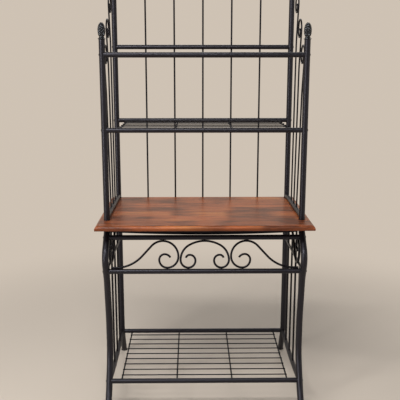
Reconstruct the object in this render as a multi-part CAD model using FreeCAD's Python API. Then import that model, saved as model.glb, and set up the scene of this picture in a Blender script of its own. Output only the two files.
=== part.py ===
"""Bakers rack: a steel-tube base with a wooden worktop and an open wire hutch on top.

Millimetres, +Z up, the front faces -Y. While it is built, Y = 0 is the line of the
front posts and Z = 0 is the floor. Every piece is then moved along Y so that the
origin lies under the middle of the footprint.
"""

import FreeCAD
import Part

import math
import os

Vector = FreeCAD.Vector

# ---------------------------------------------------------------- driving sizes

# Overall layout
POST_SPAN_X = 834.0            # left post axis to right post axis
POST_SPAN_Y = 470.0            # front post axis to back upright axis
WORKTOP_HEIGHT = 845.0         # floor to the worktop's upper face
MIDDLE_SHELF_RISE = 383.0      # worktop to the axis of the middle shelf's rails
UPPER_SHELF_RISE = 690.0       # worktop to the axis of the upper shelf's rails
GUARD_LIFT = 39.0              # upper shelf to the axis of the guard rail behind it
CREST_RISE = 990.0             # worktop to the axis of the top rail between the uprights
FRONT_POST_OVERRUN = 60.0      # upper shelf to the top end of a front post
BACK_UPRIGHT_OVERRUN = 34.0    # crest rail to the top end of a back upright
LOWER_SHELF_HEIGHT = 137.0     # floor to the axis of the lower shelf's rails

# Tubes, rods and wires
LEG_D = 28.0
POST_D = 25.4
POST_WALL = 1.5
BASE_RAIL_D = 21.5
HUTCH_RAIL_D = 21.0
RAIL_WALL = 1.2
MID_RAIL_D = 12.0
BASE_ROD_D = 9.0
SPIRAL_ROD_D = 7.0
SCROLL_D = 9.0
SIDE_SCROLL_D = 11.0
BACK_WIRE_D = 8.0
CROSS_WIRE_D = 7.0
LONG_WIRE_D = 5.0

# Worktop board
BOARD_THICKNESS = 22.0
BOARD_SIDE_OVERHANG = 40.0     # beyond the post axes
BOARD_FRONT_OVERHANG = 112.0   # beyond the line of the front posts
BOARD_BACK_OVERHANG = 28.0     # beyond the line of the back uprights
BOARD_TOP_EDGE_R = 16.0
BOARD_BOTTOM_EDGE_R = 2.0

# Front leg, upper bends: forward reach, drop under the worktop's upper face, bend radius
LEG_NECK = (0.0, 43.0, 25.0)
LEG_KNEE = (104.0, 141.0, 60.0)
LEG_CALF = (55.0, 250.0, 120.0)
# Lower bends: forward reach, height above the floor, bend radius
LEG_SHIN = (22.0, 405.0, 400.0)
LEG_ANKLE = (22.0, 240.0, 200.0)
LEG_INSTEP = (89.0, 107.0, 200.0)
FRONT_FOOT_REACH = 168.0       # forward of the front posts, at the floor
BACK_HEEL_HEIGHT = 145.0       # where the back leg starts to sweep backward
BACK_HEEL_R = 150.0
BACK_FOOT_REACH = 86.0         # behind the back uprights, at the floor
GLIDE_D = 32.0
GLIDE_THICKNESS = 6.0
GLIDE_BOSS_LENGTH = 15.0

# Base frame
APRON_TOP_DROP = 70.0          # worktop down to the apron's upper rail
APRON_BOTTOM_DROP = 206.0      # worktop down to the apron's lower rail
BACK_TOP_RAIL_DROP = 60.0
MID_RAIL_DROP = 208.0
SHELF_RAIL_SAG = 14.0          # the side rails at the lower shelf bow down by this
BASE_ROD_COUNT = 4
BASE_ROD_FIRST_Y = 13.0        # first side rod, behind the front posts
BASE_ROD_PITCH = 115.0

# Scrolls of the base
SWEEP_R = 150.0                # first bend of an S-scroll, out of its tail
SCROLL_TAIL = 20.0
SCROLL_TAIL_GAP = 6.5          # from the leg to the end of the tail
CENTRE_HALF_WIDTH = 102.5      # of the centre scroll, to its rod's axis
CENTRE_ARCH_ANGLE = 30.0
CENTRE_SHOULDER_R = 72.0
SCROLL_GAP = 0.3               # between neighbouring scrolls
LOOP_CREST_R = 66.0
CURL_RADII = (34.0, 23.0, 28.0)
CURL_END_ANGLE = 60.0
CENTRE_CURL_RADII = (30.0, 24.0, 17.0)
CENTRE_CURL_END_ANGLE = 75.0
SIDE_SCROLL_Y = 45.0           # trough of a side scroll, behind the front posts

# Hutch side rods, each ending in a spiral
HUTCH_ROD_FIRST_Y = 155.0
HUTCH_ROD_PITCH = 80.0
SPIRAL_FIRST_Y = 105.0
SPIRAL_PITCH_Y = 98.0
SPIRAL_FIRST_RISE = 687.0      # worktop to the middle of the first spiral
SPIRAL_STEP = 111.0
SPIRAL_RADII = (43.0, 32.0, 22.0, 13.0)
SPIRAL_END_ANGLE = 135.0
NECK_LENGTH = 150.0
NECK_LEAN = 15.0
NECK_BEND_R = 200.0

# Shelf mats and back wires
CROSS_WIRE_COUNT = 4
CROSS_WIRE_INSET = 52.0        # outermost cross wire inside the post axis
CROSS_WIRE_DROP = 5.0          # rails' axes down to the cross wires' axes
LOWER_LONG_WIRE_COUNT = 9
HUTCH_LONG_WIRE_COUNT = 6
LONG_WIRE_OVERRUN = 3.5        # past the outermost cross wire's axis
BACK_WIRE_COUNT = 5
BACK_WIRE_PITCH = 136.0
BACK_WIRE_SOCKET = 8.0         # depth of the blind holes in the worktop
BACK_WIRE_OVERRUN = 5.0

# Finials
FINIAL_COLLAR_D = 32.0
FINIAL_COLLAR_T = 5.5
FINIAL_COLLAR_RIM = 2.0        # height of the collar's upright rim
FINIAL_NECK_D = 24.0
FINIAL_NECK_H = 6.5
FINIAL_CONE_D = 33.5
FINIAL_CONE_H = 56.5
FINIAL_WIDEST_H = 24.0         # of the cone, above its neck
FINIAL_FOOT_D = 25.0           # of the cone, on its neck
FINIAL_TIP_D = 6.0
FINIAL_SPIGOT_L = 18.0

# Fasteners
BOLT_D = 6.0
BOLT_HEAD_D = 11.0
BOLT_HEAD_H = 2.0
BOLT_GRIP = 12.0               # length inside the rail's plug
PLUG_LENGTH = 16.0
STUD_D = 8.0
LEG_PLUG_LENGTH = 10.0
POST_PLUG_LENGTH = 18.0
COLLAR_D = 29.0
COLLAR_T = 3.0
SCREW_D = 4.0
SCREW_HEAD_D = 8.0
SCREW_HEAD_H = 2.5
SCREW_DEPTH = 14.0
SCREW_COUNT = 4

# Angle strip under the worktop
STRIP_THICKNESS = 3.0
STRIP_HEIGHT = 32.5            # at its ends
STRIP_DROP = 11.0              # the lower edge bows down by this at the middle
STRIP_FLANGE = 25.0
STRIP_END_GAP = 2.0
STRIP_SCREW_INSET = 60.0

# Clearances
HOLE_CLEARANCE = 0.4           # on the diameter, bolt, stud or screw through a hole
THREAD_CLEARANCE = 0.2         # on the diameter, bolt or stud in its plug
PLUG_CLEARANCE = 0.2           # on the diameter, plug or spigot in a tube
SOCKET_CLEARANCE = 0.3         # on the diameter, wire in the worktop

# ---------------------------------------------------------------- derived places

HALF_X = POST_SPAN_X / 2
GUARD_RISE = UPPER_SHELF_RISE + GUARD_LIFT
FRONT_POST_RISE = UPPER_SHELF_RISE + FRONT_POST_OVERRUN
BACK_UPRIGHT_RISE = CREST_RISE + BACK_UPRIGHT_OVERRUN
BOARD_UNDERSIDE = WORKTOP_HEIGHT - BOARD_THICKNESS
MID_RAIL_Z = WORKTOP_HEIGHT - MID_RAIL_DROP
LEG_BORE = LEG_D - 2 * POST_WALL
POST_BORE = POST_D - 2 * POST_WALL
SIDES = (("left", -1), ("right", 1))
X_AXIS = Vector(1, 0, 0)
Y_AXIS = Vector(0, 1, 0)
Z_AXIS = Vector(0, 0, 1)
FAR = 3000.0                   # longer than any piece, for cutting tools
SAME = 1e-6                    # two places closer than this are one


# ---------------------------------------------------------------- shape helpers

def bar(start, end, diameter):
    """A solid round bar between two points."""
    run = end - start
    return Part.makeCylinder(diameter / 2, run.Length, start, run)


def sweep(path, diameter):
    """A round bar along a path of straight runs and tangent arcs."""
    first = path.OrderedEdges[0]
    start = path.OrderedVertexes[0].Point
    heading = first.tangentAt(first.FirstParameter)
    if (first.valueAt(first.FirstParameter) - start).Length > SAME:
        heading = first.tangentAt(first.LastParameter) * -1
    section = Part.Wire([Part.makeCircle(diameter / 2, start, heading)])
    return path.makePipeShell([section], True, False)


def rounded_path(points, radii):
    """Straight runs through the points, with a tangent arc at each inner point."""
    edges = []
    at = points[0]
    for corner, after, radius in zip(points[1:-1], points[2:], radii):
        back = (at - corner).normalize()
        ahead = (after - corner).normalize()
        half_turn = (math.pi - back.getAngle(ahead)) / 2
        cut = radius * math.tan(half_turn)
        begin = corner + back * cut
        finish = corner + ahead * cut
        bisector = (back + ahead).normalize()
        middle = corner + bisector * (radius / math.cos(half_turn) - radius)
        edges.append(Part.makeLine(at, begin))
        edges.append(Part.Arc(begin, middle, finish).toShape())
        at = finish
    edges.append(Part.makeLine(at, points[-1]))
    return Part.Wire(edges)


def traced_path(start, heading, moves, along, up):
    """A path in the plane of the unit vectors along and up.

    The heading is in degrees from along towards up. A move is ("run", length) or
    ("turn", radius, degrees), positive turns going from along towards up.
    """
    edges = []
    at = start
    angle = math.radians(heading)
    for move in moves:
        ahead = along * math.cos(angle) + up * math.sin(angle)
        if move[0] == "run":
            finish = at + ahead * move[1]
            edges.append(Part.makeLine(at, finish))
        else:
            radius = move[1]
            turn = math.radians(move[2])
            way = math.copysign(1.0, turn)
            aside = (up * math.cos(angle) - along * math.sin(angle)) * way
            centre = at + aside * radius
            middle = centre + spoke(angle + turn / 2, way, along, up) * radius
            finish = centre + spoke(angle + turn, way, along, up) * radius
            edges.append(Part.Arc(at, middle, finish).toShape())
            angle = angle + turn
        at = finish
    return Part.Wire(edges)


def spoke(angle, way, along, up):
    """The unit vector from an arc's centre to the point where it heads at angle."""
    return (along * math.sin(angle) - up * math.cos(angle)) * way


def y_at(path, z):
    """Where a leg's centre line crosses the height z."""
    level = Part.makeLine(Vector(0, -FAR, z), Vector(0, FAR, z))
    return path.distToShape(level)[1][0][0].y


def at_x(shape, x):
    """A copy of a shape modelled at X = 0, moved to x."""
    return shape.translated(Vector(x, 0, 0))


def without(shape, tools):
    """The shape with every tool cut away."""
    return shape.cut(Part.makeCompound(tools))


# ---------------------------------------------------------------- legs

def front_leg_path():
    """Centre line of a front leg at X = 0: knee forward, shin back, foot forward."""
    points = [Vector(0, 0, BOARD_UNDERSIDE)]
    radii = []
    for reach, drop, radius in (LEG_NECK, LEG_KNEE, LEG_CALF):
        points.append(Vector(0, -reach, WORKTOP_HEIGHT - drop))
        radii.append(radius)
    for reach, height, radius in (LEG_SHIN, LEG_ANKLE, LEG_INSTEP):
        points.append(Vector(0, -reach, height))
        radii.append(radius)
    points.append(below_floor(points[-1], Vector(0, -FRONT_FOOT_REACH, 0)))
    return rounded_path(points, radii)


def back_leg_path():
    """Centre line of a back leg at X = 0: straight, with its foot swept backward."""
    heel = Vector(0, POST_SPAN_Y, BACK_HEEL_HEIGHT)
    toe = Vector(0, POST_SPAN_Y + BACK_FOOT_REACH, 0)
    points = [Vector(0, POST_SPAN_Y, BOARD_UNDERSIDE), heel, below_floor(heel, toe)]
    return rounded_path(points, [BACK_HEEL_R])


def below_floor(last, toe):
    """The run's end carried on below the floor, for the foot's level cut."""
    return toe + (toe - last).normalize() * LEG_D


def above_glides(shape):
    """The shape with everything below the glides' upper faces cut away."""
    return shape.cut(Part.makeBox(2 * FAR, 2 * FAR, FAR, Vector(-FAR, -FAR, GLIDE_THICKNESS - FAR)))


FRONT_PATH = front_leg_path()
BACK_PATH = back_leg_path()
FRONT_LEG_BODY = above_glides(sweep(FRONT_PATH, LEG_D))
BACK_LEG_BODY = above_glides(sweep(BACK_PATH, LEG_D))
FRONT_LEG_BORE = sweep(FRONT_PATH, LEG_BORE)
BACK_LEG_BORE = sweep(BACK_PATH, LEG_BORE)


def glide(path):
    """A round glide under a foot, with a boss up the leg's bore, at X = 0."""
    centre = Vector(0, y_at(path, GLIDE_THICKNESS), GLIDE_THICKNESS)
    lower = Vector(0, y_at(path, 0), 0)
    up_leg = (centre - lower).normalize()
    disc = Part.makeCylinder(GLIDE_D / 2, GLIDE_THICKNESS, centre - Z_AXIS * GLIDE_THICKNESS)
    boss = bar(lower, centre + up_leg * GLIDE_BOSS_LENGTH, LEG_BORE - PLUG_CLEARANCE)
    boss = boss.cut(Part.makeBox(FAR, FAR, FAR, Vector(-FAR / 2, centre.y - FAR / 2, -FAR)))
    return disc.fuse(boss).removeSplitter()


# ---------------------------------------------------------------- rails between frames

class Rail:
    """A tube across the rack between two side frames, bolted through them."""

    def __init__(self, y, z, diameter, body, frame_d):
        self.y = y
        self.z = z
        self.diameter = diameter
        self.reach = HALF_X - frame_d / 2
        self.frame_d = frame_d
        self.body = body
        self.solid = without(self.through(diameter), [at_x(body, -HALF_X), at_x(body, HALF_X)])

    def through(self, diameter):
        """A bar along the rail from one upright's axis to the other's."""
        return bar(self.point(-1, HALF_X), self.point(1, HALF_X), diameter)

    def shape(self):
        """The tube, its ends coped to the uprights."""
        return self.solid.cut(self.through(self.diameter - 2 * RAIL_WALL))

    def point(self, way, x):
        return Vector(way * x, self.y, self.z)

    def bolt(self, way):
        """A domed bolt from outside the frame into the rail's end."""
        face = HALF_X + self.frame_d / 2
        shank = bar(self.point(way, face), self.point(way, self.reach - BOLT_GRIP), BOLT_D)
        dome_r = (BOLT_HEAD_D ** 2 / 4 + BOLT_HEAD_H ** 2) / (2 * BOLT_HEAD_H)
        ball = Part.makeSphere(dome_r, self.point(way, face + BOLT_HEAD_H - dome_r))
        rim = bar(self.point(way, face), self.point(way, face + BOLT_HEAD_H), BOLT_HEAD_D)
        return shank.fuse(ball.common(rim))

    def plug(self, way):
        """A threaded plug in the end of the rail."""
        plug_d = self.diameter - 2 * RAIL_WALL - PLUG_CLEARANCE
        inner = self.point(way, self.reach - PLUG_LENGTH)
        body = bar(self.point(way, self.reach), inner, plug_d)
        return body.cut(bar(self.point(way, self.reach), inner, BOLT_D + THREAD_CLEARANCE))

    def bolt_hole(self, way):
        outer = self.point(way, HALF_X + self.frame_d)
        inner = self.point(way, HALF_X - self.frame_d)
        return bar(outer, inner, BOLT_D + HOLE_CLEARANCE)


def leg_rail(z, path, body):
    return Rail(y_at(path, z), z, BASE_RAIL_D, body, LEG_D)


def front_post_rail(rise, body):
    return Rail(0.0, WORKTOP_HEIGHT + rise, HUTCH_RAIL_D, body, POST_D)


def back_post_rail(rise, body):
    return Rail(POST_SPAN_Y, WORKTOP_HEIGHT + rise, HUTCH_RAIL_D, body, POST_D)


def post_body(y, rise):
    """Filled outer form of a hutch post at X = 0, standing on its collar."""
    return bar(Vector(0, y, WORKTOP_HEIGHT + COLLAR_T), Vector(0, y, WORKTOP_HEIGHT + rise), POST_D)


FRONT_POST_BODY = post_body(0.0, FRONT_POST_RISE)
BACK_POST_BODY = post_body(POST_SPAN_Y, BACK_UPRIGHT_RISE)

BASE_RAILS = {
    "apron_rail_top": leg_rail(WORKTOP_HEIGHT - APRON_TOP_DROP, FRONT_PATH, FRONT_LEG_BODY),
    "apron_rail_bottom": leg_rail(WORKTOP_HEIGHT - APRON_BOTTOM_DROP, FRONT_PATH, FRONT_LEG_BODY),
    "lower_shelf_rail_front": leg_rail(LOWER_SHELF_HEIGHT, FRONT_PATH, FRONT_LEG_BODY),
    "lower_shelf_rail_back": leg_rail(LOWER_SHELF_HEIGHT, BACK_PATH, BACK_LEG_BODY),
    "base_back_rail": leg_rail(WORKTOP_HEIGHT - BACK_TOP_RAIL_DROP, BACK_PATH, BACK_LEG_BODY),
}
HUTCH_RAILS = {
    "middle_shelf_rail_front": front_post_rail(MIDDLE_SHELF_RISE, FRONT_POST_BODY),
    "middle_shelf_rail_back": back_post_rail(MIDDLE_SHELF_RISE, BACK_POST_BODY),
    "upper_shelf_rail_front": front_post_rail(UPPER_SHELF_RISE, FRONT_POST_BODY),
    "upper_shelf_rail_back": back_post_rail(UPPER_SHELF_RISE, BACK_POST_BODY),
    "guard_rail": back_post_rail(GUARD_RISE, BACK_POST_BODY),
    "crest_rail": back_post_rail(CREST_RISE, BACK_POST_BODY),
}
RAILS = {**BASE_RAILS, **HUTCH_RAILS}


def bolt_holes(body, way):
    """The holes that the bolts need in the upright tube that carries these rails."""
    return [rail.bolt_hole(way) for rail in RAILS.values() if rail.body is body]


def leg(body, bore, way):
    """One leg: the bent tube with its bolt holes."""
    return without(at_x(body, way * HALF_X), [at_x(bore, way * HALF_X)] + bolt_holes(body, way))


def post(body, way):
    """One hutch post: a straight tube with its bolt holes."""
    box = body.BoundBox
    centre = Vector(way * HALF_X, box.Center.y, box.ZMin)
    bore = bar(centre, Vector(centre.x, centre.y, box.ZMax), POST_BORE)
    return without(at_x(body, way * HALF_X), [bore] + bolt_holes(body, way))


# ---------------------------------------------------------------- side frames of the base

def side_top_rail_bar(diameter):
    """A bar along the rail under the worktop's end, between the legs' tops, at X = 0."""
    z = BOARD_UNDERSIDE - HUTCH_RAIL_D / 2
    return bar(Vector(0, 0, z), Vector(0, POST_SPAN_Y, z), diameter)


def side_top_rail_tube():
    return side_top_rail_bar(HUTCH_RAIL_D).cut(side_top_rail_bar(HUTCH_RAIL_D - 2 * RAIL_WALL))


def side_shelf_rail_path():
    """The bowed side rail at the lower shelf, leg axis to leg axis, at X = 0."""
    front = Vector(0, y_at(FRONT_PATH, LOWER_SHELF_HEIGHT), LOWER_SHELF_HEIGHT)
    back = Vector(0, y_at(BACK_PATH, LOWER_SHELF_HEIGHT), LOWER_SHELF_HEIGHT)
    lowest = (front + back) / 2 - Z_AXIS * SHELF_RAIL_SAG
    return Part.Wire([Part.Arc(front, lowest, back).toShape()])


def side_rail(way, shape):
    """A rail modelled at X = 0, in its place and coped to the legs and cross rails."""
    x = way * HALF_X
    cross_rails = [rail.solid for rail in BASE_RAILS.values()]
    return without(at_x(shape, x), [at_x(FRONT_LEG_BODY, x), at_x(BACK_LEG_BODY, x)] + cross_rails)


def side_shelf_rail_tube():
    path = side_shelf_rail_path()
    return sweep(path, HUTCH_RAIL_D).cut(sweep(path, HUTCH_RAIL_D - 2 * RAIL_WALL))


def side_mid_rail_body():
    """The thin solid rail from leg axis to leg axis, at X = 0."""
    front = Vector(0, y_at(FRONT_PATH, MID_RAIL_Z), MID_RAIL_Z)
    return bar(front, Vector(0, y_at(BACK_PATH, MID_RAIL_Z), MID_RAIL_Z), MID_RAIL_D)


def base_rod(y, low, high, rails):
    """One upright rod between the axes of two rails, coped to both, at X = 0."""
    rod = without(bar(Vector(0, y, low), Vector(0, y, high), BASE_ROD_D), rails)
    return max(rod.Solids, key=lambda piece: piece.Volume)


def base_rods():
    """The upright rods of one base side frame, at X = 0.

    The first rod stops at the mid rail, because the front leg's neck is above it.
    """
    shelf_rail = sweep(side_shelf_rail_path(), HUTCH_RAIL_D)
    mid_rail = side_mid_rail_body()
    top_z = BOARD_UNDERSIDE - HUTCH_RAIL_D / 2
    rods = []
    for n in range(BASE_ROD_COUNT):
        y = BASE_ROD_FIRST_Y + n * BASE_ROD_PITCH
        rods.append(base_rod(y, LOWER_SHELF_HEIGHT - SHELF_RAIL_SAG, MID_RAIL_Z, [shelf_rail, mid_rail]))
        if n > 0:
            rods.append(base_rod(y, MID_RAIL_Z, top_z, [mid_rail, side_top_rail_bar(HUTCH_RAIL_D)]))
    return Part.makeCompound(rods)


# ---------------------------------------------------------------- scrolls

APRON_TOP = BASE_RAILS["apron_rail_top"]
APRON_BOTTOM = BASE_RAILS["apron_rail_bottom"]
APRON_UP = Vector(0, APRON_TOP.y - APRON_BOTTOM.y, APRON_TOP.z - APRON_BOTTOM.z)
APRON_HEIGHT = APRON_UP.Length
APRON_UP.normalize()
APRON_LOW = BASE_RAIL_D / 2 + SCROLL_D / 2
SCROLL_RISE = APRON_HEIGHT - 2 * APRON_LOW
SCROLL_START_X = HALF_X - LEG_D / 2 - SCROLL_TAIL_GAP
SCROLL_CREST_X = CENTRE_HALF_WIDTH + SCROLL_D + SCROLL_GAP + LOOP_CREST_R
SCROLL_RUN = SCROLL_START_X - SCROLL_TAIL - SCROLL_CREST_X


def loop_moves(radii, last_angle):
    """Quarter turns to the right, the last one cut short."""
    moves = [("turn", radius, -90) for radius in radii[:-1]]
    moves.append(("turn", radii[-1], -last_angle))
    return moves


def s_scroll_moves():
    """Tail, sweep up to the crest, and a loop that curls inward, as fits the apron."""
    radii = SWEEP_R + LOOP_CREST_R
    span = math.hypot(SCROLL_RUN, SCROLL_RISE - radii)
    lean = math.atan2(SCROLL_RISE - radii, SCROLL_RUN)
    slope = math.degrees(lean + math.asin(radii / span))
    moves = [("run", SCROLL_TAIL), ("turn", SWEEP_R, slope)]
    moves.append(("run", math.sqrt(span ** 2 - radii ** 2)))
    moves.append(("turn", LOOP_CREST_R, -slope))
    return moves + loop_moves((LOOP_CREST_R, SCROLL_RISE - LOOP_CREST_R) + CURL_RADII, CURL_END_ANGLE)


def base_side_scroll(way):
    """The same S-scroll upside down, inside the rods, its trough on the mid rail."""
    inset = BASE_ROD_D / 2 + SIDE_SCROLL_D / 2
    touch = MID_RAIL_D / 2 + SIDE_SCROLL_D / 2
    trough = MID_RAIL_Z + math.sqrt(touch ** 2 - inset ** 2)
    start_y = SIDE_SCROLL_Y + SCROLL_RUN + SCROLL_TAIL
    start = Vector(way * (HALF_X - inset), start_y, trough + SCROLL_RISE)
    return sweep(traced_path(start, 0, s_scroll_moves(), Y_AXIS * -1, Z_AXIS * -1), SIDE_SCROLL_D)


def apron_point(x, height):
    """A point in the apron's slanting plane, height above the lower rail's axis."""
    return Vector(x, APRON_BOTTOM.y, APRON_BOTTOM.z) + APRON_UP * height


def apron_side_scroll(way):
    """The S-scroll beside a leg: tail on the lower rail, loop against the upper one."""
    start = apron_point(way * SCROLL_START_X, APRON_LOW)
    return sweep(traced_path(start, 0, s_scroll_moves(), X_AXIS * -way, APRON_UP), SCROLL_D)


def apron_centre_scroll():
    """The C-scroll: an arch under the upper rail, both ends curled inward on the lower one."""
    shoulder = math.sin(math.radians(CENTRE_ARCH_ANGLE))
    arch_r = (CENTRE_HALF_WIDTH - CENTRE_SHOULDER_R * (1 - shoulder)) / shoulder
    arch_cos = math.cos(math.radians(CENTRE_ARCH_ANGLE))
    drop = arch_r * (1 - arch_cos) + CENTRE_SHOULDER_R * arch_cos
    half = [("turn", arch_r, -CENTRE_ARCH_ANGLE)]
    half.append(("turn", CENTRE_SHOULDER_R, CENTRE_ARCH_ANGLE - 90))
    half += loop_moves((SCROLL_RISE - drop,) + CENTRE_CURL_RADII, CENTRE_CURL_END_ANGLE)
    crest = apron_point(0, APRON_LOW + SCROLL_RISE)
    halves = []
    for way in (1, -1):
        halves.append(sweep(traced_path(crest, 0, half, X_AXIS * way, APRON_UP), SCROLL_D))
    return halves[0].fuse(halves[1]).removeSplitter()


# ---------------------------------------------------------------- worktop

BOARD_WIDTH = POST_SPAN_X + 2 * BOARD_SIDE_OVERHANG
BOARD_CENTRE_Y = (POST_SPAN_Y + BOARD_BACK_OVERHANG - BOARD_FRONT_OVERHANG) / 2
BOARD_DEPTH = POST_SPAN_Y + BOARD_FRONT_OVERHANG + BOARD_BACK_OVERHANG
POST_PLACES = [(way * HALF_X, y) for y in (0.0, POST_SPAN_Y) for way in (-1, 1)]
BACK_WIRE_Y = POST_SPAN_Y + HUTCH_RAIL_D / 2 + BACK_WIRE_D / 2
BACK_WIRE_XS = [(n - (BACK_WIRE_COUNT - 1) / 2) * BACK_WIRE_PITCH for n in range(BACK_WIRE_COUNT)]
STRIP_HALF_X = HALF_X - LEG_D / 2 - STRIP_END_GAP
STRIP_SCREW_Y = STRIP_FLANGE / 2


def strip_screw_xs():
    """Places of the screws along the strip, evenly spaced between the end insets."""
    first = STRIP_HALF_X - STRIP_SCREW_INSET
    pitch = 2 * first / (SCREW_COUNT - 1)
    return [n * pitch - first for n in range(SCREW_COUNT)]


def edges_where(shape, test):
    """The edges whose two ends both pass the test."""
    return [edge for edge in shape.Edges if all(test(vertex.Point) for vertex in edge.Vertexes)]


def worktop():
    """The wooden board, rounded all round, with its stud, wire and screw holes."""
    corner = Vector(-BOARD_WIDTH / 2, BOARD_CENTRE_Y - BOARD_DEPTH / 2, BOARD_UNDERSIDE)
    board = Part.makeBox(BOARD_WIDTH, BOARD_DEPTH, BOARD_THICKNESS, corner)
    top = edges_where(board, lambda point: abs(point.z - WORKTOP_HEIGHT) < SAME)
    board = board.makeFillet(BOARD_TOP_EDGE_R, top)
    bottom = edges_where(board, lambda point: abs(point.z - BOARD_UNDERSIDE) < SAME)
    board = board.makeFillet(BOARD_BOTTOM_EDGE_R, bottom)
    holes = []
    for x, y in POST_PLACES:
        holes.append(bar(Vector(x, y, 0), Vector(x, y, FAR), STUD_D + HOLE_CLEARANCE))
    for x in BACK_WIRE_XS:
        foot = Vector(x, BACK_WIRE_Y, WORKTOP_HEIGHT - BACK_WIRE_SOCKET)
        holes.append(bar(foot, foot + Z_AXIS * FAR, BACK_WIRE_D + SOCKET_CLEARANCE))
    for x in strip_screw_xs():
        tip = Vector(x, STRIP_SCREW_Y, BOARD_UNDERSIDE + SCREW_DEPTH)
        holes.append(bar(tip, Vector(x, STRIP_SCREW_Y, 0), SCREW_D + THREAD_CLEARANCE))
    return without(board, holes)


def worktop_strip():
    """The angle strip screwed under the front of the worktop, its lower edge bowed down."""
    low = BOARD_UNDERSIDE - STRIP_HEIGHT
    corners = [Vector(-STRIP_HALF_X, 0, low), Vector(-STRIP_HALF_X, 0, BOARD_UNDERSIDE),
               Vector(STRIP_HALF_X, 0, BOARD_UNDERSIDE), Vector(STRIP_HALF_X, 0, low)]
    edges = [Part.makeLine(a, b) for a, b in zip(corners, corners[1:])]
    edges.append(Part.Arc(corners[-1], Vector(0, 0, low - STRIP_DROP), corners[0]).toShape())
    web = Part.Face(Part.Wire(edges)).extrude(Y_AXIS * STRIP_THICKNESS)
    flange = Part.makeBox(2 * STRIP_HALF_X, STRIP_FLANGE, STRIP_THICKNESS,
                          Vector(-STRIP_HALF_X, 0, BOARD_UNDERSIDE - STRIP_THICKNESS))
    holes = []
    for x in strip_screw_xs():
        centre = Vector(x, STRIP_SCREW_Y, BOARD_UNDERSIDE)
        holes.append(bar(centre, centre - Z_AXIS * 2 * STRIP_THICKNESS, SCREW_D + HOLE_CLEARANCE))
    return without(web.fuse(flange).removeSplitter(), holes)


def strip_screws():
    """Screws up through the strip into the worktop."""
    screws = []
    for x in strip_screw_xs():
        seat = Vector(x, STRIP_SCREW_Y, BOARD_UNDERSIDE - STRIP_THICKNESS)
        tip = Vector(x, STRIP_SCREW_Y, BOARD_UNDERSIDE + SCREW_DEPTH)
        head = bar(seat - Z_AXIS * SCREW_HEAD_H, seat, SCREW_HEAD_D)
        screws.append(bar(seat, tip, SCREW_D).fuse(head))
    return Part.makeCompound(screws)


# ---------------------------------------------------------------- joining hutch and base

def collars():
    """A flat ring under each hutch post."""
    rings = []
    for x, y in POST_PLACES:
        foot = Vector(x, y, WORKTOP_HEIGHT)
        hole = bar(foot, foot + Z_AXIS * COLLAR_T, STUD_D + HOLE_CLEARANCE)
        rings.append(bar(foot, foot + Z_AXIS * COLLAR_T, COLLAR_D).cut(hole))
    return Part.makeCompound(rings)


def studs():
    """Threaded studs that clamp the worktop between each leg and its post."""
    pieces = []
    for x, y in POST_PLACES:
        low = Vector(x, y, BOARD_UNDERSIDE - LEG_PLUG_LENGTH)
        high = Vector(x, y, WORKTOP_HEIGHT + COLLAR_T + POST_PLUG_LENGTH)
        pieces.append(bar(low, high, STUD_D))
    return Part.makeCompound(pieces)


def frame_plugs():
    """Threaded plugs in the legs' tops and the posts' feet."""
    plugs = []
    for x, y in POST_PLACES:
        leg_top = Vector(x, y, BOARD_UNDERSIDE)
        post_foot = Vector(x, y, WORKTOP_HEIGHT + COLLAR_T)
        plugs.append(ring(leg_top, leg_top - Z_AXIS * LEG_PLUG_LENGTH, LEG_BORE))
        plugs.append(ring(post_foot, post_foot + Z_AXIS * POST_PLUG_LENGTH, POST_BORE))
    return Part.makeCompound(plugs)


def ring(start, end, bore):
    """A plug that fills a bore, with a threaded hole for the stud."""
    hole = bar(start, end, STUD_D + THREAD_CLEARANCE)
    return bar(start, end, bore - PLUG_CLEARANCE).cut(hole)


# ---------------------------------------------------------------- hutch

def hutch_base_rail_body():
    """Filled form of the rail that lies on the worktop between two posts, at X = 0."""
    z = WORKTOP_HEIGHT + HUTCH_RAIL_D / 2
    return bar(Vector(0, 0, z), Vector(0, POST_SPAN_Y, z), HUTCH_RAIL_D)


def hutch_base_rail():
    """The tube on the worktop, coped to the posts and their collars, at X = 0."""
    z = WORKTOP_HEIGHT + HUTCH_RAIL_D / 2
    bore = bar(Vector(0, 0, z), Vector(0, POST_SPAN_Y, z), HUTCH_RAIL_D - 2 * RAIL_WALL)
    tools = [bore]
    for y in (0.0, POST_SPAN_Y):
        foot = Vector(0, y, WORKTOP_HEIGHT)
        tools.append(bar(foot, foot + Z_AXIS * COLLAR_T, COLLAR_D))
        tools.append(bar(foot, foot + Z_AXIS * FAR, POST_D))
    return without(hutch_base_rail_body(), tools)


def spiral_rod(n):
    """The n-th side rod of the hutch: a leaning stem that curls over into a spiral, at X = 0."""
    centre = Vector(0, SPIRAL_FIRST_Y + n * SPIRAL_PITCH_Y,
                    WORKTOP_HEIGHT + SPIRAL_FIRST_RISE + n * SPIRAL_STEP)
    foot = Vector(0, HUTCH_ROD_FIRST_Y + n * HUTCH_ROD_PITCH, WORKTOP_HEIGHT + HUTCH_RAIL_D / 2)
    lean = math.radians(NECK_LEAN)
    neck = Vector(0, -math.sin(lean), math.cos(lean))
    onto = centre + Vector(0, -math.cos(lean), -math.sin(lean)) * SPIRAL_RADII[0]
    knee = onto - neck * NECK_LENGTH
    stem = rounded_path([foot, knee, onto], [NECK_BEND_R]).OrderedEdges
    first, second, third, last = SPIRAL_RADII
    moves = [("turn", first, -180 - NECK_LEAN), ("turn", second, -90), ("turn", third, -90),
             ("turn", last, -SPIRAL_END_ANGLE)]
    curl = traced_path(onto, 90 + NECK_LEAN, moves, Y_AXIS, Z_AXIS)
    rod = sweep(Part.Wire(stem + curl.OrderedEdges), SPIRAL_ROD_D)
    return rod.cut(hutch_base_rail_body())


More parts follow.
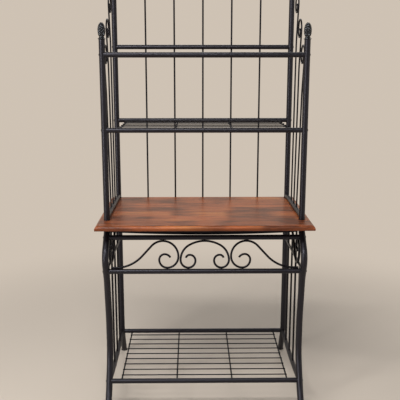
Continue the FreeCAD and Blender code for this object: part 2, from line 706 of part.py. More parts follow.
def finial(y, rise):
    """A turned finial on a post at X = 0: spigot, collar, neck and pine cone."""
    seat = WORKTOP_HEIGHT + rise
    spigot_r = (POST_BORE - PLUG_CLEARANCE) / 2
    collar_rim = seat + FINIAL_COLLAR_T - FINIAL_COLLAR_RIM
    collar_top = seat + FINIAL_COLLAR_T
    neck_top = collar_top + FINIAL_NECK_H
    widest = neck_top + FINIAL_WIDEST_H
    tip = neck_top + FINIAL_CONE_H
    edges = [
        line(0, seat - FINIAL_SPIGOT_L, spigot_r, seat - FINIAL_SPIGOT_L),
        line(spigot_r, seat - FINIAL_SPIGOT_L, spigot_r, seat),
        line(spigot_r, seat, POST_D / 2, seat),
        line(POST_D / 2, seat, FINIAL_COLLAR_D / 2, collar_rim),
        line(FINIAL_COLLAR_D / 2, collar_rim, FINIAL_COLLAR_D / 2, collar_top),
        line(FINIAL_COLLAR_D / 2, collar_top, FINIAL_NECK_D / 2, collar_top),
        line(FINIAL_NECK_D / 2, collar_top, FINIAL_NECK_D / 2, neck_top),
        line(FINIAL_NECK_D / 2, neck_top, FINIAL_FOOT_D / 2, neck_top),
        cone_side(FINIAL_FOOT_D / 2, neck_top, widest),
        cone_side(FINIAL_TIP_D / 2, tip, widest),
        line(FINIAL_TIP_D / 2, tip, 0, tip),
        line(0, tip, 0, seat - FINIAL_SPIGOT_L),
    ]
    profile = Part.Face(Part.Wire(edges))
    return profile.revolve(Vector(0, 0, 0), Z_AXIS, 360).translated(Vector(0, y, 0))


def line(r1, z1, r2, z2):
    return Part.makeLine(Vector(r1, 0, z1), Vector(r2, 0, z2))


def cone_side(r, z, widest):
    """Part of an ellipse from r, z to the cone's widest place, where it is upright."""
    girth = FINIAL_CONE_D / 2
    rise = (z - widest) / math.sqrt(1 - (r / girth) ** 2)
    centre = Vector(0, 0, widest)
    outline = Part.Ellipse(centre + Z_AXIS * rise, centre + X_AXIS * girth, centre)
    return Part.ArcOfEllipse(outline, math.asin(r / girth), math.pi / 2).toShape()


def shelf_mat(front, back, long_count):
    """Cross wires between two rails, with long wires lying across them."""
    wires = []
    first_x = HALF_X - CROSS_WIRE_INSET
    pitch_x = 2 * first_x / (CROSS_WIRE_COUNT - 1)
    for n in range(CROSS_WIRE_COUNT):
        x = n * pitch_x - first_x
        low = front.z - CROSS_WIRE_DROP
        wire = bar(Vector(x, front.y, low), Vector(x, back.y, low), CROSS_WIRE_D)
        wires.append(without(wire, [front.solid, back.solid]))
    pitch_y = (back.y - front.y) / (long_count + 1)
    z = front.z - CROSS_WIRE_DROP + CROSS_WIRE_D / 2 + LONG_WIRE_D / 2
    reach = first_x + LONG_WIRE_OVERRUN
    for n in range(1, long_count + 1):
        y = front.y + n * pitch_y
        wires.append(bar(Vector(-reach, y, z), Vector(reach, y, z), LONG_WIRE_D))
    return Part.makeCompound(wires)


def back_wires():
    """Upright wires from sockets in the worktop, behind the rails, up to the crest rail."""
    wires = []
    for x in BACK_WIRE_XS:
        foot = Vector(x, BACK_WIRE_Y, WORKTOP_HEIGHT - BACK_WIRE_SOCKET)
        top = Vector(x, BACK_WIRE_Y, WORKTOP_HEIGHT + CREST_RISE + BACK_WIRE_OVERRUN)
        wires.append(bar(foot, top, BACK_WIRE_D))
    return Part.makeCompound(wires)


# ---------------------------------------------------------------- all pieces

def pieces():
    """Every piece by name."""
    found = {}
    for side, way in SIDES:
        x = way * HALF_X
        found[f"leg_front_{side}"] = leg(FRONT_LEG_BODY, FRONT_LEG_BORE, way)
        found[f"leg_back_{side}"] = leg(BACK_LEG_BODY, BACK_LEG_BORE, way)
        found[f"side_top_rail_{side}"] = side_rail(way, side_top_rail_tube())
        found[f"side_mid_rail_{side}"] = side_rail(way, side_mid_rail_body())
        found[f"side_shelf_rail_{side}"] = side_rail(way, side_shelf_rail_tube())
        found[f"base_rods_{side}"] = at_x(base_rods(), x)
        found[f"base_scroll_{side}"] = base_side_scroll(way)
        found[f"apron_scroll_{side}"] = apron_side_scroll(way)
        found[f"post_front_{side}"] = post(FRONT_POST_BODY, way)
        found[f"upright_back_{side}"] = post(BACK_POST_BODY, way)
        found[f"finial_front_{side}"] = at_x(finial(0.0, FRONT_POST_RISE), x)
        found[f"finial_back_{side}"] = at_x(finial(POST_SPAN_Y, BACK_UPRIGHT_RISE), x)
        found[f"hutch_base_rail_{side}"] = at_x(hutch_base_rail(), x)
        for n, size in enumerate(("short", "middle", "tall")):
            found[f"spiral_rod_{size}_{side}"] = at_x(spiral_rod(n), x)
    for name, rail in RAILS.items():
        found[name] = rail.shape()
    found["apron_scroll_centre"] = apron_centre_scroll()
    found["lower_shelf_mat"] = shelf_mat(RAILS["lower_shelf_rail_front"],
                                         RAILS["lower_shelf_rail_back"], LOWER_LONG_WIRE_COUNT)
    for level in ("middle", "upper"):
        found[f"{level}_shelf_mat"] = shelf_mat(RAILS[f"{level}_shelf_rail_front"],
                                                RAILS[f"{level}_shelf_rail_back"],
                                                HUTCH_LONG_WIRE_COUNT)
    found["back_wires"] = back_wires()
    found["worktop"] = worktop()
    found["worktop_strip"] = worktop_strip()
    found["strip_screws"] = strip_screws()
    found["post_collars"] = collars()
    found["studs"] = studs()
    found["frame_plugs"] = frame_plugs()
    rail_ends = [(rail, way) for rail in RAILS.values() for way in (-1, 1)]
    found["rail_bolts"] = Part.makeCompound([rail.bolt(way) for rail, way in rail_ends])
    found["rail_plugs"] = Part.makeCompound([rail.plug(way) for rail, way in rail_ends])
    glides = [at_x(glide(path), way * HALF_X) for path in (FRONT_PATH, BACK_PATH) for way in (-1, 1)]
    found["glides"] = Part.makeCompound(glides)
    return found


def main():
    os.makedirs("parts", exist_ok=True)
    middle_y = (y_at(FRONT_PATH, GLIDE_THICKNESS) + y_at(BACK_PATH, GLIDE_THICKNESS)) / 2
    for name, shape in pieces().items():
        shape.translated(Vector(0, -middle_y, 0)).exportStep(f"parts/{name}.step")


main()
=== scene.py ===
"""Bakers rack: finishes, cast finials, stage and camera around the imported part."""

import math

import bpy
from mathutils import Matrix, Vector


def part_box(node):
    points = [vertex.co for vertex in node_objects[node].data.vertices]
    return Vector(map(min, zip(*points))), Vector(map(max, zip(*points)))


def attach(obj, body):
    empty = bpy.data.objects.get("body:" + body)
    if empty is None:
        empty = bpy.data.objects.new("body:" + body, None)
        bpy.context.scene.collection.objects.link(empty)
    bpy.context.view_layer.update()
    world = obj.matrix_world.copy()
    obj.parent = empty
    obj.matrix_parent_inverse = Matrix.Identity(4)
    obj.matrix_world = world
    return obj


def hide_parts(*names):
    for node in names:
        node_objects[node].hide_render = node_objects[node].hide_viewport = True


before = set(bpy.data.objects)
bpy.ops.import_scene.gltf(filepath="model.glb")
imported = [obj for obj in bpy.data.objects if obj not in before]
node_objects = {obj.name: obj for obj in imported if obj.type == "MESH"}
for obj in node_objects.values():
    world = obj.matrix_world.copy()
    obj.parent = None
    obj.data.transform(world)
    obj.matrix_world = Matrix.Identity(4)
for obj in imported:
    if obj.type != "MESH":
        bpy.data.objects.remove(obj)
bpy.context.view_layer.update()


# ------------------------------------------------------------------ painted frames
# Legs, rails and posts are bent steel tube, welded into side frames and powder
# coated satin black. The film has a fine orange peel, is a little bluish in tone,
# and holds some dust where it faces up.

PAINT_GLINT = (0.89, 0.87, 1.0, 1.0)
FILM_TONE = (0.006, 0.005, 0.008, 1.0)
DUST_COLOUR = (0.06, 0.056, 0.05, 1.0)
PATCH_SCALE = 17.0             # noise cells per metre, of uneven film and dust
SIDES = ("left", "right")


def new_group(name, colours, values):
    """A node group with these inputs, which gives a finish, and its two end nodes."""
    group = bpy.data.node_groups.new(name, "ShaderNodeTree")
    inputs = [(label, "NodeSocketColor") for label in colours]
    inputs += [(label, "NodeSocketFloat") for label in values]
    for label, kind in inputs:
        group.interface.new_socket(label, in_out="INPUT", socket_type=kind)
    for label, kind in (("Colour", "NodeSocketColor"), ("Roughness", "NodeSocketFloat"),
                        ("Height", "NodeSocketFloat")):
        group.interface.new_socket(label, in_out="OUTPUT", socket_type=kind)
    return group, group.nodes.new("NodeGroupInput"), group.nodes.new("NodeGroupOutput")


def node(tree, kind, settings=None, **inputs):
    """A node with its settings, its inputs set to values or linked to sockets.

    An input is named by its label, or as i0, i1 and so on by its number.
    """
    made = tree.nodes.new(kind)
    for key, value in (settings or {}).items():
        setattr(made, key, value)
    for label, value in inputs.items():
        numbered = label[0] == "i" and label[1:].isdigit()
        socket = made.inputs[int(label[1:]) if numbered else label]
        if isinstance(value, bpy.types.NodeSocket):
            tree.links.new(value, socket)
        else:
            socket.default_value = value
    return made


def noise(tree, vector, scale, detail=2.0, roughness=0.5, distortion=0.0):
    """A noise texture's value."""
    made = node(tree, "ShaderNodeTexNoise", Vector=vector, Scale=scale, Detail=detail,
                Roughness=roughness, Distortion=distortion)
    return made.outputs["Fac"]


def calc(tree, operation, first, second=0.0, clamp=False):
    """A math node's value."""
    made = node(tree, "ShaderNodeMath", {"operation": operation, "use_clamp": clamp},
                i0=first, i1=second)
    return made.outputs["Value"]


def ramp(tree, value, low, high, to_low=0.0, to_high=1.0):
    """A value from low to high, smoothly stretched between two others."""
    made = node(tree, "ShaderNodeMapRange", {"interpolation_type": "SMOOTHSTEP"},
                Value=value, i1=low, i2=high, i3=to_low, i4=to_high)
    return made.outputs["Result"]


def blend_colours(tree, amount, first, second):
    """One colour, covered by a second one by an amount."""
    made = node(tree, "ShaderNodeMix", {"data_type": "RGBA"}, i0=amount, i6=first, i7=second)
    return made.outputs[2]


def paint_film():
    """Colour, roughness and height of a sprayed film, with dust where it faces up."""
    group, start, end = new_group("paint film", ["Colour"], ["Dust", "Roughness", "Peel"])
    place = node(group, "ShaderNodeTexCoord").outputs["Object"]
    peel = noise(group, place, start.outputs["Peel"], 2.0)
    patches = noise(group, place, PATCH_SCALE, 4.0, 0.6)
    facing = node(group, "ShaderNodeNewGeometry").outputs["Normal"]
    upward = node(group, "ShaderNodeSeparateXYZ", Vector=facing).outputs["Z"]
    settled = calc(group, "MULTIPLY", ramp(group, upward, 0.2, 1.0),
                   ramp(group, patches, 0.3, 0.75))
    dusty = calc(group, "MULTIPLY", settled, start.outputs["Dust"])
    tone = blend_colours(group, ramp(group, patches, 0.3, 0.7, 0.0, 0.35),
                         start.outputs["Colour"], FILM_TONE)
    colour = blend_colours(group, dusty, tone, DUST_COLOUR)
    rubbed = ramp(group, patches, 0.25, 0.75, -0.05, 0.06)
    rough = calc(group, "ADD", calc(group, "ADD", start.outputs["Roughness"], rubbed),
                 calc(group, "MULTIPLY", dusty, 0.35), clamp=True)
    group.links.new(colour, end.inputs["Colour"])
    group.links.new(rough, end.inputs["Roughness"])
    group.links.new(peel, end.inputs["Height"])
    return group


def new_material(name):
    """An empty material: its tree and its Principled BSDF."""
    material = bpy.data.materials.new(name)
    material.use_nodes = True
    return material, material.node_tree, material.node_tree.nodes["Principled BSDF"]


def feed(tree, shader, group_node, bump, distance):
    """A group's colour, roughness and height into a Principled BSDF."""
    tree.links.new(group_node.outputs["Colour"], shader.inputs["Base Color"])
    tree.links.new(group_node.outputs["Roughness"], shader.inputs["Roughness"])
    relief = node(tree, "ShaderNodeBump", Height=group_node.outputs["Height"],
                  Strength=bump, Distance=distance)
    tree.links.new(relief.outputs["Normal"], shader.inputs["Normal"])


def placed(tree, group, **inputs):
    """A group in a material, with its own values."""
    made = node(tree, "ShaderNodeGroup", {"node_tree": group})
    for label, value in inputs.items():
        made.inputs[label.replace("_", " ")].default_value = value
    return made


def dress(material, *names):
    """Gives the material to CAD nodes."""
    for name in names:
        for slot in node_objects[name].material_slots:
            slot.material = material


film = paint_film()
satin_black, tree, shader = new_material("satin black paint")
feed(tree, shader, placed(tree, film, Colour=(0.0038, 0.0031, 0.0041, 1.0), Dust=0.05,
                          Roughness=0.40, Peel=420.0), 0.12, 0.0004)
shader.inputs["Specular IOR Level"].default_value = 0.42
shader.inputs["Specular Tint"].default_value = PAINT_GLINT
for side in SIDES:
    dress(satin_black, f"leg_front_{side}", f"leg_back_{side}", f"side_top_rail_{side}",
          f"side_mid_rail_{side}", f"side_shelf_rail_{side}", f"post_front_{side}",
          f"upright_back_{side}", f"hutch_base_rail_{side}")
dress(satin_black, "apron_rail_top", "apron_rail_bottom", "base_back_rail", "post_collars",
      "lower_shelf_rail_front", "lower_shelf_rail_back", "middle_shelf_rail_front",
      "middle_shelf_rail_back", "upper_shelf_rail_front", "upper_shelf_rail_back",
      "guard_rail", "crest_rail", "worktop_strip")


# ------------------------------------------------------------------ glides
# Round feet of black nylon, pushed into the legs' ends. They are matt, with
# grey dust where they face up.

nylon, tree, shader = new_material("black nylon")
feed(tree, shader, placed(tree, film, Colour=(0.014, 0.014, 0.014, 1.0), Dust=0.5,
                          Roughness=0.62, Peel=900.0), 0.2, 0.0003)
dress(nylon, "glides")


# ------------------------------------------------------------------ rods, scrolls and wires
# Solid drawn rod and wire, bent cold, welded in and painted with the frames. The
# paint is thinner on them, so they are a little glossier and less dusty.

thin_black, tree, shader = new_material("thin black paint")
feed(tree, shader, placed(tree, film, Colour=(0.0032, 0.0025, 0.0028, 1.0), Dust=0.04,
                          Roughness=0.36, Peel=700.0), 0.08, 0.0003)
shader.inputs["Specular IOR Level"].default_value = 0.17
shader.inputs["Specular Tint"].default_value = PAINT_GLINT
for side in SIDES:
    dress(thin_black, f"base_rods_{side}", f"base_scroll_{side}", f"apron_scroll_{side}")
    for size in ("short", "middle", "tall"):
        dress(thin_black, f"spiral_rod_{size}_{side}")
dress(thin_black, "apron_scroll_centre", "lower_shelf_mat", "middle_shelf_mat",
      "upper_shelf_mat", "back_wires")


# ------------------------------------------------------------------ fasteners
# Black oxide bolts and screws, and bare zinc plugs and studs inside the tubes.
# The heads are a little brighter than the paint around them.

black_oxide, tree, shader = new_material("black oxide steel")
feed(tree, shader, placed(tree, film, Colour=(0.02, 0.02, 0.021, 1.0), Dust=0.1,
                          Roughness=0.3, Peel=1500.0), 0.06, 0.0002)
shader.inputs["Metallic"].default_value = 0.55
dress(black_oxide, "rail_bolts", "strip_screws")
zinc, tree, shader = new_material("zinc plated steel")
feed(tree, shader, placed(tree, film, Colour=(0.42, 0.42, 0.40, 1.0), Dust=0.0,
                          Roughness=0.35, Peel=1500.0), 0.06, 0.0002)
shader.inputs["Metallic"].default_value = 1.0
dress(zinc, "rail_plugs", "frame_plugs", "studs")


# ------------------------------------------------------------------ worktop
# Staves of a reddish hardwood, glued edge to edge with the grain along the rack,
# stained brown and varnished. Each stave has its own tone and figure. The lower
# part of the rounded edge and the underside are darkened with painted shade.

COUNT_FROM = 3.0               # in front of the board, so staves count from above zero
TONE_ALONG = 4.2               # noise cells per metre, as are the next four
GRAIN_ALONG, GRAIN_ACROSS = 2.4, 13.0
FIBRES_ALONG, FIBRES_ACROSS = 12.0, 500.0
TONE_STEP = (1.9, 7.7)         # how far the noise jumps from one stave to the next
GRAIN_STEP = 4.17
SEAM_WIDTH = 0.012             # of a stave, at each side of a glue line
FIBRE_COLOUR = (0.05, 0.014, 0.005, 1.0)
PORE_COLOUR = (0.03, 0.009, 0.003, 1.0)
SEAM_COLOUR = (0.03, 0.009, 0.004, 1.0)
# painted shade for the downward faces of the rounded edge and the underside
DOWNWARD_SHADE_COLOUR = (0.062, 0.017, 0.008, 1.0)


def wood_figure():
    """Colour, roughness and height of glued staves with the grain along X."""
    group, start, end = new_group("wood figure", ["Light", "Dark", "Gold"],
                                  ["Stave width", "Roughness"])
    place = node(group, "ShaderNodeTexCoord").outputs["Object"]
    parts = node(group, "ShaderNodeSeparateXYZ", Vector=place)
    along, across, level = (parts.outputs[axis] for axis in "XYZ")

    # which stave a point is in, and how dark the stave is there
    row = calc(group, "DIVIDE", calc(group, "ADD", across, COUNT_FROM),
               start.outputs["Stave width"])
    stave = calc(group, "FLOOR", row)
    drift = node(group, "ShaderNodeCombineXYZ",
                 X=calc(group, "ADD", calc(group, "MULTIPLY", along, TONE_ALONG),
                        calc(group, "MULTIPLY", stave, TONE_STEP[0])),
                 Y=calc(group, "MULTIPLY", stave, TONE_STEP[1])).outputs["Vector"]
    tone = ramp(group, noise(group, drift, 1.0, 1.0), 0.36, 0.64)

    # figure: slow waves, streaks and fine fibres, all drawn out along the grain
    offset = calc(group, "MULTIPLY", stave, GRAIN_STEP)
    grain = node(group, "ShaderNodeCombineXYZ", X=calc(group, "MULTIPLY", along, GRAIN_ALONG),
                 Y=calc(group, "ADD", calc(group, "MULTIPLY", across, GRAIN_ACROSS), offset),
                 Z=calc(group, "MULTIPLY", level, GRAIN_ACROSS)).outputs["Vector"]
    waves = noise(group, grain, 1.3, 4.0, 0.6, 1.6)
    streaks = noise(group, grain, 4.0, 4.0, 0.62, 0.5)
    glow = noise(group, grain, 0.9, 2.0, 0.5, 0.8)
    thread = node(group, "ShaderNodeCombineXYZ", X=calc(group, "MULTIPLY", along, FIBRES_ALONG),
                  Y=calc(group, "MULTIPLY", across, FIBRES_ACROSS),
                  Z=calc(group, "MULTIPLY", level, FIBRES_ACROSS)).outputs["Vector"]
    fibres = noise(group, thread, 1.0, 3.0, 0.6)
    pores = ramp(group, noise(group, thread, 2.2, 1.0, 0.5), 0.62, 0.74)

    mixed = calc(group, "ADD", calc(group, "MULTIPLY", waves, 0.55),
                 calc(group, "MULTIPLY", streaks, 0.45))
    figure = ramp(group, mixed, 0.41, 0.59)
    darkness = calc(group, "ADD", calc(group, "MULTIPLY", figure, 0.55),
                    ramp(group, tone, 0.1, 0.9, -0.10, 0.44), clamp=True)
    wood = blend_colours(group, darkness, start.outputs["Light"], start.outputs["Dark"])
    golden = calc(group, "MULTIPLY", ramp(group, glow, 0.5, 0.7),
                  ramp(group, tone, 0.2, 0.7, 0.55, 0.1))
    wood = blend_colours(group, golden, wood, start.outputs["Gold"])
    wood = blend_colours(group, ramp(group, fibres, 0.35, 0.75, 0.0, 0.3), wood,
                         FIBRE_COLOUR)
    wood = blend_colours(group, calc(group, "MULTIPLY", pores, 0.45), wood, PORE_COLOUR)

    # painted shade: darker on the lower part of the rounded edge and below, where the faces
    # turn down
    facing = node(group, "ShaderNodeNewGeometry").outputs["Normal"]
    upward = node(group, "ShaderNodeSeparateXYZ", Vector=facing).outputs["Z"]
    wood = blend_colours(group, ramp(group, upward, 0.55, -0.2, 0.0, 0.7), wood,
                         DOWNWARD_SHADE_COLOUR)

    # glue lines between staves
    within = calc(group, "FRACT", row)
    seam = calc(group, "MINIMUM", within, calc(group, "SUBTRACT", 1.0, within))
    line = ramp(group, seam, 0.0, SEAM_WIDTH, 0.5, 0.0)
    wood = blend_colours(group, line, wood, SEAM_COLOUR)
    rough = calc(group, "ADD", start.outputs["Roughness"],
                 ramp(group, fibres, 0.3, 0.7, -0.03, 0.06), clamp=True)
    height = calc(group, "SUBTRACT", calc(group, "MULTIPLY", fibres, 0.3),
                  calc(group, "ADD", pores, line))
    group.links.new(wood, end.inputs["Colour"])
    group.links.new(rough, end.inputs["Roughness"])
    group.links.new(height, end.inputs["Height"])
    return group


varnished_wood, tree, shader = new_material("varnished hardwood")
figure = placed(tree, wood_figure(), Light=(0.408, 0.111, 0.036, 1.0),
                Dark=(0.096, 0.028, 0.0125, 1.0), Gold=(0.565, 0.21, 0.059, 1.0),
                Stave_width=0.0872, Roughness=0.33)
feed(tree, shader, figure, 0.2, 0.0002)
shader.inputs["Specular IOR Level"].default_value = 0.2
dress(varnished_wood, "worktop")


# ------------------------------------------------------------------ finials
# Cast iron, one on each post: a spigot in the tube, a collar and a neck ring, and
# a pine cone whose pointed scales overlap upwards in staggered rows.

SPIGOT_R = 0.0111
SPIGOT_DEPTH = 0.018           # below the post's end
POST_R = 0.0127
COLLAR_R = 0.016
COLLAR_TOP = 0.0055            # above the post's end
NECK_TOP = 0.012               # foot of the cone
NECK_R = 0.012
CONE_HEIGHT = 0.0565
CONE_WIDEST = 0.024
CONE_R = 0.01675
CONE_FOOT_R = 0.0125
CONE_TIP_R = 0.003
CORE_INSET = 0.0026            # the solid core, under the scales' tips
CORE_RINGS = 14
CORE_TIP_R = 0.0008
CORE_TIP_INSET = 0.0012
TURNED_STEPS = 48
CORE_STEPS = 36
SCALES_ROUND = 10
SCALE_ROWS = 10
SCALE_DEPTH = 0.0034
SCALE_RISE = 0.30              # of the scale as modelled, one unit wide
SCALE_LEAN = 0.26              # of its point, towards the upper corner
SCALE_BEVEL = 0.05
SCALE_OVERLAP = 1.02           # of a scale's width on its row's share
FIRST_ROW = 0.0008             # height above the cone's foot
ROW_SPAN = 0.0044              # height over which a row's slope is taken
REACH, REACH_LOSS = 0.0150, 0.0068     # a scale's length at the foot, and less at the tip
STEP, STEP_LOSS = 0.0072, 0.0032       # the same for the height from row to row
SMOOTH_UP_TO = 38.0            # degrees between faces


def cone_outline(height):
    """The cone's radius over the scales' tips, at a height above its foot."""
    end_r, rise = CONE_FOOT_R, CONE_WIDEST
    if height > CONE_WIDEST:
        end_r, rise = CONE_TIP_R, CONE_HEIGHT - CONE_WIDEST
    half_height = rise / math.sqrt(1 - (end_r / CONE_R) ** 2)
    return CONE_R * math.sqrt(max(0.0, 1 - ((height - CONE_WIDEST) / half_height) ** 2))


def turned(name, profile, steps):
    """A round piece drawn up from a disc, ring by ring, on the Z axis."""
    bpy.ops.object.select_all(action="DESELECT")
    radius, height = profile[0]
    bpy.ops.mesh.primitive_circle_add(vertices=steps, radius=radius, fill_type="NGON",
                                      location=(0.0, 0.0, height))
    piece = bpy.context.object
    piece.name = name
    bpy.ops.object.transform_apply(location=True, rotation=True, scale=True)
    bpy.ops.object.mode_set(mode="EDIT")
    bpy.ops.mesh.select_mode(type="FACE")
    bpy.ops.mesh.select_all(action="SELECT")
    for wider, higher in profile[1:]:
        bpy.ops.mesh.extrude_region_move(
            TRANSFORM_OT_translate={"value": (0.0, 0.0, higher - height)})
        ratio = wider / radius
        bpy.ops.transform.resize(value=(ratio, ratio, 1.0), center_override=(0.0, 0.0, higher))
        radius, height = wider, higher
    bpy.ops.mesh.select_all(action="SELECT")
    bpy.ops.mesh.normals_make_consistent(inside=False)
    bpy.ops.object.mode_set(mode="OBJECT")
    return piece


def cone_scale():
    """One scale of the pine cone: a thick diamond whose upper point stands away."""
    bpy.ops.object.select_all(action="DESELECT")
    bpy.ops.mesh.primitive_cone_add(vertices=4, radius1=0.5, radius2=0.0, depth=SCALE_RISE,
                                    location=(0.0, 0.0, SCALE_RISE / 2),
                                    end_fill_type="NGON")
    piece = bpy.context.object
    piece.name = "scale"
    bpy.ops.object.transform_apply(location=True, rotation=True, scale=True)
    bpy.ops.object.mode_set(mode="EDIT")
    bpy.ops.mesh.select_mode(type="VERT")
    bpy.ops.mesh.select_all(action="DESELECT")
    bpy.ops.object.mode_set(mode="OBJECT")
    for corner in piece.data.vertices:
        corner.select = corner.co.z > SCALE_RISE / 2
    bpy.ops.object.mode_set(mode="EDIT")
    bpy.ops.transform.translate(value=(0.0, SCALE_LEAN, 0.0))
    bpy.ops.mesh.select_all(action="SELECT")
    bpy.ops.mesh.bevel(offset=SCALE_BEVEL, segments=2, affect="EDGES")
    bpy.ops.mesh.normals_make_consistent(inside=False)
    bpy.ops.object.mode_set(mode="OBJECT")
    return piece


def merged(name, pieces):
    """Several mesh objects joined into one, with this name."""
    bpy.ops.object.select_all(action="DESELECT")
    for piece in pieces:
        piece.select_set(True)
    bpy.context.view_layer.objects.active = pieces[0]
    bpy.ops.object.join()
    pieces[0].name = name
    pieces[0].data.name = name
    return pieces[0]


def copy_at(piece, name, place):
    """A copy of a piece with its own mesh, moved by a matrix into its place."""
    mesh = piece.data.copy()
    mesh.transform(place)
    made = bpy.data.objects.new(name, mesh)
    bpy.context.scene.collection.objects.link(made)
    return made


def pine_cone_finial():
    """The whole finial, its collar's foot at the origin."""
    body = turned("finial", [
        (SPIGOT_R - 0.001, -SPIGOT_DEPTH), (SPIGOT_R, -0.017), (SPIGOT_R, 0.0), (POST_R, 0.0),
        (COLLAR_R - 0.0019, 0.0010), (COLLAR_R - 0.0005, 0.0022), (COLLAR_R, 0.0034),
        (COLLAR_R - 0.0003, 0.0045), (COLLAR_R - 0.0012, COLLAR_TOP - 0.0003),
        (COLLAR_R - 0.0024, COLLAR_TOP), (NECK_R - 0.0018, COLLAR_TOP + 0.0001),
        (NECK_R - 0.0018, 0.0062), (NECK_R - 0.0006, 0.0067), (NECK_R, 0.0078),
        (NECK_R, 0.0088), (NECK_R - 0.0006, 0.0099), (NECK_R - 0.0018, 0.0105),
        (NECK_R - 0.0018, NECK_TOP)], TURNED_STEPS)
    core_points = []
    for n in range(CORE_RINGS):
        height = CONE_HEIGHT * n / CORE_RINGS
        core_points.append((max(cone_outline(height) - CORE_INSET, 0.001), NECK_TOP + height))
    core_points.append((CORE_TIP_R, NECK_TOP + CONE_HEIGHT - CORE_TIP_INSET))
    core = turned("core", core_points, CORE_STEPS)
    leaf = cone_scale()
    parts = [body, core]
    outward = Matrix(((0, 0, 1, 0), (1, 0, 0, 0), (0, 1, 0, 0), (0, 0, 0, 1)))
    height = FIRST_ROW
    for row in range(SCALE_ROWS):
        share = row / (SCALE_ROWS - 1)
        radius = cone_outline(height + ROW_SPAN / 2)
        slope = math.atan2(cone_outline(height) - cone_outline(height + ROW_SPAN), ROW_SPAN)
        size = Matrix.Diagonal((2 * math.pi * radius / SCALES_ROUND * SCALE_OVERLAP,
                                REACH - REACH_LOSS * share, SCALE_DEPTH / SCALE_RISE, 1.0))
        seat = Matrix.Translation((radius - SCALE_DEPTH * math.cos(slope), 0.0,
                                   NECK_TOP + height + ROW_SPAN / 2
                                   - SCALE_DEPTH * math.sin(slope)))
        for n in range(SCALES_ROUND):
            turn = 2 * math.pi * (n + 0.5 * (row % 2)) / SCALES_ROUND
            parts.append(copy_at(leaf, "leaf", Matrix.Rotation(turn, 4, "Z") @ seat
                                 @ Matrix.Rotation(-slope, 4, "Y") @ outward @ size))
        height += STEP - STEP_LOSS * share
    bpy.data.objects.remove(leaf)
    return merged("pine_cone_finial", parts)


cast_black, tree, shader = new_material("cast black")
feed(tree, shader, placed(tree, film, Colour=(0.0016, 0.0018, 0.0024, 1.0), Dust=0.03,
                          Roughness=0.22, Peel=1300.0), 0.2, 0.0002)
shader.inputs["Specular IOR Level"].default_value = 0.62
shader.inputs["Specular Tint"].default_value = (0.86, 0.92, 1.0, 1.0)
pattern = pine_cone_finial()
for level in ("front", "back"):
    for side in SIDES:
        name = f"finial_{level}_{side}"
        low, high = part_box(name)
        middle = (low + high) / 2
        piece = copy_at(pattern, f"pine_cone_{level}_{side}",
                        Matrix.Translation((middle.x, middle.y, low.z + SPIGOT_DEPTH)))
        piece.data.materials.clear()
        piece.data.materials.append(cast_black)
        bpy.ops.object.select_all(action="DESELECT")
        piece.select_set(True)
        bpy.context.view_layer.objects.active = piece
        bpy.ops.object.shade_smooth_by_angle(angle=math.radians(SMOOTH_UP_TO))
        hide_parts(name)
        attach(piece, "root")
bpy.data.objects.remove(pattern)


# ------------------------------------------------------------------ floor, light and camera
# The rack stands on a plain pale floor that runs out into a pale surround, under soft
# lamps at the left, at the right, overhead and behind. Gloss finds the surround darker
# above and in front of the rack, as in a room lit from the sides.

SURROUND = (0.62, 0.54, 0.455, 1.0)
UPPER_SURROUND = (0.17, 0.16, 0.15, 1.0)
FLOOR_SIZE = 24.0
FADE_FROM, FADE_TO = 0.9, 2.5          # distances at which the floor meets the surround
LAMPS = (                      # name, place, width, height, watts
    ("window lamp", (-2.35, -2.5, 1.5), 0.6, 2.4, 54.5),
    ("fill lamp", (2.9, -1.7, 1.5), 0.8, 2.4, 9.0),
    ("overhead lamp", (-0.9, -2.3, 3.5), 2.6, 0.3, 102.0),
    ("back lamp", (0.2, 2.4, 3.4), 2.6, 1.4, 40.0))
LAMPS_AIM = Vector((0.0, 0.0, 0.95))
CAMERA_PLACE = (-0.0521, -2.9723, 1.5168)
CAMERA_DOWN, CAMERA_TURN = 11.90, -0.673
LENS = 60.08


def seen_directly(tree):
    """1 for the rays that show the background: camera, mirror and glass rays."""
    ray = node(tree, "ShaderNodeLightPath")
    mirrored = calc(tree, "MAXIMUM", ray.outputs["Is Glossy Ray"],
                    ray.outputs["Is Transmission Ray"])
    return calc(tree, "MAXIMUM", ray.outputs["Is Camera Ray"], mirrored)


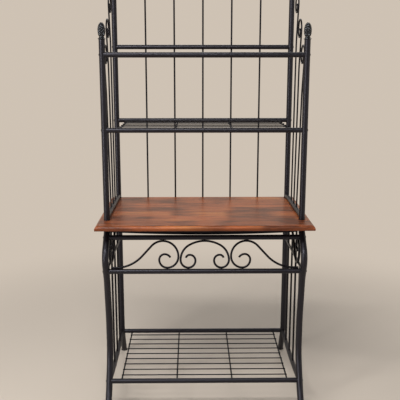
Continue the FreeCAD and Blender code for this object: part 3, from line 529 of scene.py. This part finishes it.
bpy.ops.object.select_all(action="DESELECT")
bpy.ops.mesh.primitive_plane_add(size=FLOOR_SIZE, location=(0.0, 0.0, 0.0))
floor = bpy.context.object
floor.name = "floor"
pale_floor, tree, shader = new_material("pale floor")
shader.inputs["Base Color"].default_value = SURROUND
shader.inputs["Roughness"].default_value = 0.7
shader.inputs["Specular IOR Level"].default_value = 0.2
place = node(tree, "ShaderNodeTexCoord").outputs["Object"]
away = node(tree, "ShaderNodeVectorMath", {"operation": "LENGTH"}, i0=place).outputs["Value"]
faded = calc(tree, "MULTIPLY", ramp(tree, away, FADE_FROM, FADE_TO), seen_directly(tree))
glow = node(tree, "ShaderNodeEmission", Color=SURROUND, Strength=1.0)
either = node(tree, "ShaderNodeMixShader", i0=faded, i1=shader.outputs["BSDF"],
              i2=glow.outputs["Emission"])
tree.links.new(either.outputs["Shader"], tree.nodes["Material Output"].inputs["Surface"])
floor.data.materials.append(pale_floor)

world = bpy.data.worlds.new("pale surround")
bpy.context.scene.world = world
world.use_nodes = True
tree = world.node_tree
tree.nodes.clear()
lighting = node(tree, "ShaderNodeBackground", Color=(0.95, 0.97, 1.0, 1.0), Strength=0.22)
direction = node(tree, "ShaderNodeTexCoord").outputs["Generated"]
way = node(tree, "ShaderNodeSeparateXYZ", Vector=direction)
shade = blend_colours(tree, ramp(tree, way.outputs["Z"], 0.22, 0.62), SURROUND,
                      UPPER_SURROUND)
facing_out = calc(tree, "MULTIPLY", ramp(tree, way.outputs["Y"], -0.1, -0.7),
                  node(tree, "ShaderNodeLightPath").outputs["Is Glossy Ray"])
shade = blend_colours(tree, facing_out, shade, UPPER_SURROUND)
surround = node(tree, "ShaderNodeBackground", Color=shade, Strength=1.0)
either = node(tree, "ShaderNodeMixShader", i0=seen_directly(tree),
              i1=lighting.outputs["Background"], i2=surround.outputs["Background"])
node(tree, "ShaderNodeOutputWorld", Surface=either.outputs["Shader"])

for name, spot, width, height, power in LAMPS:
    lamp = bpy.data.lights.new(name, "AREA")
    lamp.shape = "RECTANGLE"
    lamp.size = width
    lamp.size_y = height
    lamp.energy = power
    holder = bpy.data.objects.new(name, lamp)
    bpy.context.scene.collection.objects.link(holder)
    holder.location = spot
    aim = LAMPS_AIM - Vector(spot)
    holder.rotation_euler = aim.to_track_quat("-Z", "Y").to_euler()

bpy.ops.object.select_all(action="DESELECT")
bpy.ops.object.camera_add(location=CAMERA_PLACE,
                          rotation=(math.radians(90.0 - CAMERA_DOWN), 0.0,
                                    math.radians(CAMERA_TURN)))
camera = bpy.context.object
camera.data.sensor_width = 36.0
camera.data.lens = LENS
camera.data.clip_start = 0.05
bpy.context.scene.camera = camera
bpy.context.scene.view_settings.view_transform = "Standard"
